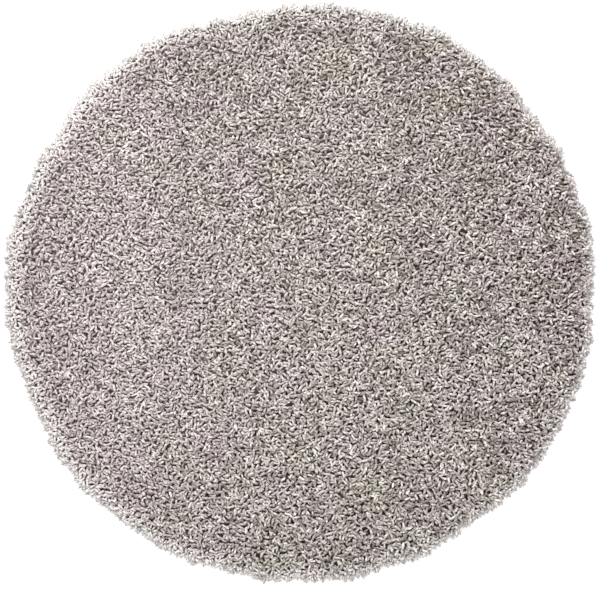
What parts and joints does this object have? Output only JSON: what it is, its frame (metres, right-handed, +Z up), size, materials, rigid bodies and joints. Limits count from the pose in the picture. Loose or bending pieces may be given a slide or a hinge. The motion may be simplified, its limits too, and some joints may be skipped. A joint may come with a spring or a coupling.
{
  "type": "round shag rug",
  "caption": "Round shag rug of long, dense cut pile in heathered warm grey, lying flat, with a lumpy top and a soft rim of drooping yarn locks.",
  "frame": {"origin": "on the floor, below the middle of the rug's outline", "axes": "+Z up out of the pile, +X to the right and +Y away from the viewer as the rug is seen from above"},
  "size_m": [1.2, 1.186, 0.0387],
  "materials": {
    "pile_yarn": "matt twisted synthetic yarn, heathered in warm light grey and taupe with darker roots"
  },
  "bodies": {
    "root": {"shag_rug": "pile_yarn"}
  },
  "joints": []
}
